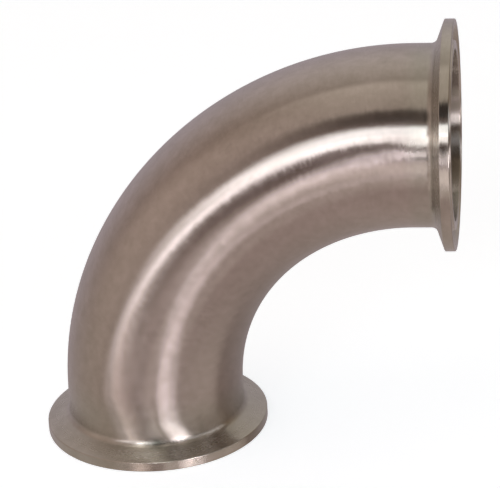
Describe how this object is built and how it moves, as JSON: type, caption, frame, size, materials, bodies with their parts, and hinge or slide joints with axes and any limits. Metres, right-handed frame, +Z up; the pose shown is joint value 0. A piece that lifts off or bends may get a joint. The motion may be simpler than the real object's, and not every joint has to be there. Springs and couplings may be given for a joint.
{
  "type": "sanitary elbow",
  "caption": "90 degree sanitary elbow in bright stainless tube with a clamp ferrule and a seal groove on each end.",
  "frame": {"origin": "centre of the lower end's face, on the lower leg's axis", "axes": "+Z up along the lower leg, into the elbow; +X the way the upper leg points; the plane Y = 0 halves the elbow"},
  "size_m": [0.1209, 0.064, 0.1209],
  "materials": {
    "steel": "fine satin grind outside, smooth bore"
  },
  "bodies": {
    "root": {"elbow": "steel"}
  },
  "joints": []
}
